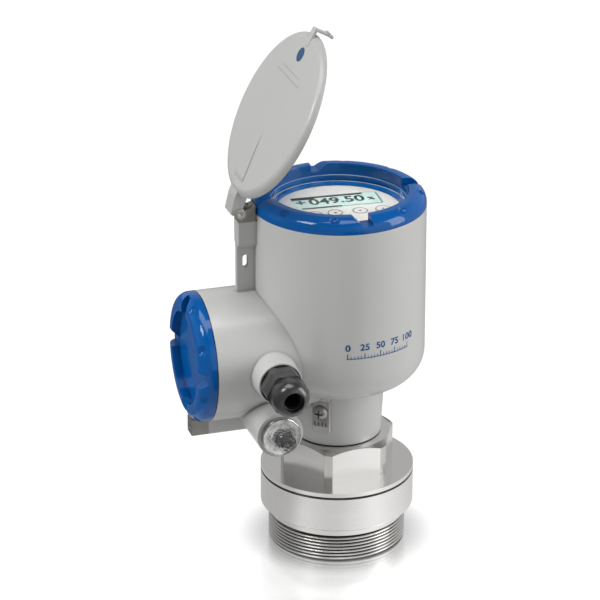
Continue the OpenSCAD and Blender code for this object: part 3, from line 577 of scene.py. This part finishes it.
# Inside the casting: black moulded modules that fill the two chambers, a green
# terminal block and a circuit board. None of them shows from outside.
module_plastic, tree, shader = finish("module plastic", (0.06, 0.065, 0.07), 0.5)
add_grain(tree, shader, 2200.0, 0.00004, (0.05, 0.055, 0.06), (0.075, 0.08, 0.085), 60.0,
          rough=(0.42, 0.58))
dress(module_plastic, "radar_module", "electronics_module", "display_module", "cable_feedthrough")
terminal_green, tree, shader = finish("terminal plastic", (0.03, 0.16, 0.08), 0.45)
add_grain(tree, shader, 2200.0, 0.00003, (0.025, 0.14, 0.07), (0.04, 0.18, 0.09), 60.0,
          rough=(0.4, 0.52))
dress(terminal_green, "terminal_block")
board_green, tree, shader = finish("circuit board", (0.01, 0.1, 0.04), 0.3)
add_grain(tree, shader, 900.0, 0.00004, (0.008, 0.08, 0.03), (0.02, 0.14, 0.06), 300.0,
          rough=(0.25, 0.4))
dress(board_green, "display_board")

# Display: a light grey front foil over a liquid crystal with plain figures,
# and four touch keys marked by thin printed rings with a small arrow inside.
foil, tree, shader = finish("front foil", (0.53, 0.51, 0.49), 0.5)
add_grain(tree, shader, 2600.0, 0.00002, (0.51, 0.49, 0.47), (0.55, 0.53, 0.51), 40.0,
          rough=(0.45, 0.55))
dress(foil, "display_bezel", "display_keys")
crystal, tree, shader = finish("liquid crystal", (0.47, 0.6, 0.55), 0.25)
add_grain(tree, shader, 5000.0, 0.000004, (0.44, 0.58, 0.53), (0.5, 0.63, 0.58), 60.0,
          rough=(0.2, 0.3))
dress(crystal, "lcd_panel")
ink, tree, shader = finish("black segments", (0.006, 0.007, 0.008), 0.4)
add_grain(tree, shader, 3000.0, 0.00001, (0.005, 0.006, 0.007), (0.009, 0.01, 0.011), 60.0,
          rough=(0.36, 0.48))
display_turn = Matrix.Rotation(math.radians(-3.5), 4, "Z")
print_gap = 0.00002
on_panel = Matrix.Translation((0.0, 0.0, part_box("lcd_panel")[1][2] + print_gap)) @ display_turn
on_keys = Matrix.Translation((0.0, 0.0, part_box("display_keys")[1][2] + print_gap)) @ display_turn
readout = [flat_bar(-0.0254, 0.0205, 0.0209, 0.0231), flat_bar(-0.0254, -0.0105, 0.0192, 0.0210),
           flat_bar(-0.0222, 0.0035, 0.0036, 0.0058), flat_bar(0.0035, 0.0292, 0.0042, 0.0047),
           flat_bar(0.0290, 0.0296, 0.0044, 0.0222)]
readout.append(flat_figures("049.50", (0.0024, 0.0142), 0.0092, 1.0, 0.00032))
readout.append(flat_figures("+", (-0.0206, 0.0145), 0.0078, 1.0, 0.0004))
readout.append(flat_figures("%", (0.0242, 0.0128), 0.0046, 1.0, 0.00018))
gather("display_readout", readout, ink, on_panel, "housing")


def flat_disc(radius, centre, corners=64, turn=0.0):
    """A flat disc, or with few corners a polygon, in the XY plane."""
    bpy.ops.object.select_all(action="DESELECT")
    bpy.ops.mesh.primitive_circle_add(vertices=corners, radius=radius, fill_type="NGON",
                                      location=(*centre, 0.0), rotation=(0.0, 0.0, turn))
    bpy.ops.object.transform_apply(location=True, rotation=True)
    return bpy.context.object


ring_radius, ring_line, arrow_radius = 0.0047, 0.0005, 0.0014
prints = []
for across, arrow in ((-0.0167, 90), (-0.0037, 0), (0.0122, -90), (0.0268, 180)):
    key_centre = (across, -0.0061)
    prints.append(flat_disc(ring_radius, key_centre))
    bpy.ops.object.mode_set(mode="EDIT")
    bpy.ops.mesh.select_all(action="SELECT")
    bpy.ops.mesh.inset(thickness=ring_line)
    bpy.ops.mesh.delete(type="FACE")
    bpy.ops.object.mode_set(mode="OBJECT")
    thicken()
    prints.append(flat_disc(arrow_radius, key_centre, 3, math.radians(arrow - 90)))
    thicken()
gather("key_rings", prints, ink, on_keys, "housing")

# Display cover and terminal cover: screw caps cast like the housing, in a deep
# blue gloss, with painted shade in their notches and dimples. The display cover
# holds a thick glass window on a pale silicone ring; the terminal cover's outer
# wall next to the casting is painted near black as a painted shadow.
blue_coating, tree, shader = finish("blue coating", (0.0, 0.086, 0.32), 0.2)
paint = add_grain(tree, shader, 700.0, 0.000008, (0.0, 0.079, 0.3), (0.0, 0.092, 0.34),
                  rough=(0.16, 0.26), round_over=0.0007, shade_reach=0.004)
shader.inputs["Specular IOR Level"].default_value = 0.03
shader.inputs["Coat Weight"].default_value = 0.52
shader.inputs["Coat Roughness"].default_value = 0.04
# Painted shadow: the terminal cover's outer wall close to the casting is coloured near black.
terminal_axis, cover_wall = 0.13575, 0.0402
joint_left, joint_right = -0.0903, -0.07
axes = add_axes(tree)
off_axis = add_distance(tree, add_math(tree, "SUBTRACT", axes["Z"], terminal_axis), axes["Y"])
near_joint = add_between(tree, axes["X"], joint_left, joint_right)
edge_shadow = add_math(tree, "MULTIPLY", near_joint, add_math(tree, "GREATER_THAN", off_axis, cover_wall))
tree.links.new(add_mix(tree, edge_shadow, paint, (0.0, 0.012, 0.035)), shader.inputs["Base Color"])
dress(blue_coating, "display_cover", "terminal_cover")
silicone, tree, shader = finish("pale silicone", (0.45, 0.47, 0.5), 0.5)
add_grain(tree, shader, 2600.0, 0.00002, (0.42, 0.44, 0.47), (0.5, 0.52, 0.55), 60.0,
          rough=(0.42, 0.58))
dress(silicone, "window_seal")
glass, tree, shader = finish("window glass", (0.97, 0.99, 0.985), 0.0)
shader.inputs["Transmission Weight"].default_value = 1.0
shader.inputs["IOR"].default_value = 1.08
clear = add_node(tree, "ShaderNodeBsdfTransparent")
path = add_node(tree, "ShaderNodeLightPath")
pick = add_node(tree, "ShaderNodeMixShader", links=[
    (0, path.outputs["Is Shadow Ray"]), (1, shader.outputs[0]), (2, clear.outputs[0])])
tree.links.new(pick.outputs[0], tree.nodes["Material Output"].inputs["Surface"])
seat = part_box("window_seal")[1][2] + 0.00005
window_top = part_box("cover_window")[1][2]
bpy.ops.object.select_all(action="DESELECT")
pane_radius, ground_edge = 0.04305, 0.0004
bpy.ops.mesh.primitive_cylinder_add(vertices=128, radius=pane_radius, depth=window_top - seat,
                                    location=(0.0, 0.0, (window_top + seat) / 2))
pane = bpy.context.object
pane.name = "window_pane"
bpy.ops.object.transform_apply(location=True)
bpy.ops.object.mode_set(mode="EDIT")
bpy.ops.mesh.select_all(action="DESELECT")
bpy.ops.object.mode_set(mode="OBJECT")
for edge in pane.data.edges:
    first, second = (pane.data.vertices[end].co for end in edge.vertices)
    edge.select = abs(first.z - second.z) < 1e-6
bpy.ops.object.mode_set(mode="EDIT")
bpy.ops.mesh.select_mode(type="EDGE")
bpy.ops.mesh.bevel(offset=ground_edge, segments=1)
bpy.ops.mesh.select_mode(type="VERT")
bpy.ops.object.mode_set(mode="OBJECT")
bpy.ops.object.shade_smooth_by_angle(angle=math.radians(20))
pane.data.materials.append(glass)
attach(pane, "display_cover")
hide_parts("cover_window")

# Window edge: the ground rim of the glass, where the blue of the cover shines
# through, given as a painted reflection: a thin pale blue ring that lies on the pane.
edge_blue, tree, shader = finish("blue edge reflection", (0.18, 0.36, 0.66), 0.2)
add_grain(tree, shader, 2600.0, 0.00001, (0.16, 0.34, 0.62), (0.22, 0.4, 0.7), 60.0,
          rough=(0.15, 0.3))
inner, outer = 0.04255, 0.04308
rim = turned("window_edge", [(inner, window_top - 0.0001), (outer, window_top - 0.0001),
                             (outer, window_top + 0.0002), (0.0428, window_top + 0.0003),
                             (inner, window_top + 0.0001)])
bpy.ops.object.shade_smooth_by_angle(angle=math.radians(30))
rim.data.materials.append(edge_blue)
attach(rim, "display_cover")

# Small hardware: bright plated screws, the dulled earth clamp with its screw,
# and the darker steel of the cover locks and of the clip on the neck's spigot.
plated, tree, shader = finish("bright steel", (0.7, 0.69, 0.67), 0.24, 1.0)
add_grain(tree, shader, 2600.0, 0.00003, (0.62, 0.61, 0.59), (0.76, 0.75, 0.73), 300.0,
          rough=(0.16, 0.36), round_over=0.0003)
dress(plated, "terminal_screws", "hinge_screw", "hinge_nut")
zinc, tree, shader = finish("dulled zinc", (0.3, 0.29, 0.28), 0.34, 1.0)
# Painted shade: the zinc darkens in the clamp's hollows.
add_grain(tree, shader, 1800.0, 0.00006, (0.16, 0.155, 0.15), (0.42, 0.41, 0.4), 240.0,
          rough=(0.24, 0.44), round_over=0.0003, shade_reach=0.002)
dress(zinc, "ground_clamp", "ground_screw")
dull_steel, tree, shader = finish("dull steel", (0.3, 0.29, 0.26), 0.42, 0.7)
add_grain(tree, shader, 1400.0, 0.00008, (0.22, 0.21, 0.18), (0.36, 0.35, 0.32), 160.0,
          rough=(0.34, 0.52), round_over=0.0004)
dress(dull_steel, "display_cover_lock", "terminal_cover_lock", "swivel_clip", "lock_screws")

# Cable gland: black polyamide straight from the mould. The fixed hexagon has
# The fixed hexagon is painted greyer than the domed nut, a painted sheen.
polyamide, tree, shader = finish("black polyamide", (0.018, 0.018, 0.019), 0.34)
add_grain(tree, shader, 1800.0, 0.00004, (0.014, 0.014, 0.015), (0.024, 0.024, 0.026), 90.0,
          rough=(0.22, 0.36), round_over=0.0006)
shader.inputs["Coat Weight"].default_value = 0.4
shader.inputs["Coat Roughness"].default_value = 0.15
dress(polyamide, "gland_nut", "gland_clamp_ring")
# Painted sheen: the fixed hexagon's black is lifted to a grey.
grey_polyamide, tree, shader = finish("grey polyamide", (0.05, 0.05, 0.05), 0.42)
add_grain(tree, shader, 1800.0, 0.00004, (0.04, 0.04, 0.04), (0.065, 0.065, 0.064), 120.0,
          rough=(0.34, 0.5), round_over=0.0006)
dress(grey_polyamide, "gland_body")

# Blanking plug: plated brass with a dished, roughly polished face. Its bump breaks
# what it mirrors, and bright and dark patches are painted into its colour as well,
# a painted reflection.
plug_metal, tree, shader = finish("dished plating", (0.6, 0.6, 0.59), 0.14, 1.0)
# Painted reflection: the plating's colour runs from near black to bright in patches.
add_grain(tree, shader, 260.0, 0.0004, (0.05, 0.05, 0.05), (0.8, 0.8, 0.79), 150.0,
          rough=(0.08, 0.22), round_over=0.0004)
dress(plug_metal, "blanking_plug")

# Weather cover: a pressed lid on a hinge, coated like the housing but in a darker
# grey, painted shade against the stronger light on it, with a round blue mark and
# two thin printed lines on its top.
# Painted shade: the lid's grey is set darker than the housing's to offset how brightly it is lit.
lid_coating, tree, shader = finish("lid coating", (0.4, 0.4, 0.39), 0.36)
add_grain(tree, shader, 1500.0, 0.00002, (0.385, 0.385, 0.375), (0.415, 0.415, 0.405),
          rough=(0.3, 0.42), round_over=0.0012)
shader.inputs["Coat Weight"].default_value = 0.15
shader.inputs["Coat Roughness"].default_value = 0.18
dress(lid_coating, "weather_cover")
hinge = Vector((-0.066, 0.0, 0.2314))
open_angle, lid_top = math.radians(-61.8), 0.0088
lid = (Matrix.Translation(hinge) @ Matrix.Rotation(open_angle, 4, "Y")
       @ Matrix.Translation((0.0, 0.0, lid_top)))
mark_radius, mark_centre = 0.0046, (0.1038, 0.0011)
mark = flat_disc(mark_radius, mark_centre)
thicken()
print_dark, tree, shader = finish("dark blue print", (0.006, 0.06, 0.15), 0.42)
add_grain(tree, shader, 2400.0, 0.00001, (0.005, 0.055, 0.14), (0.007, 0.065, 0.16), 60.0,
          rough=(0.36, 0.48))
gather("lid_mark", [mark], print_dark, lid, "weather_cover")
pale_print, tree, shader = finish("pale print", (0.25, 0.29, 0.36), 0.45)
add_grain(tree, shader, 2400.0, 0.00001, (0.23, 0.27, 0.34), (0.28, 0.32, 0.39), 60.0,
          rough=(0.4, 0.5))
stroke, stroke_pitch, half = 0.0024, 0.0031, 0.0003
strokes = []
for across, first, last in ((0.0878, -0.0183, 0.0233), (0.0918, -0.0135, 0.0186)):
    reach = first
    while reach < last:
        strokes.append(flat_bar(across - half, across + half, reach, min(reach + stroke, last)))
        reach += stroke_pitch
gather("lid_lines", strokes, pale_print, lid, "weather_cover")
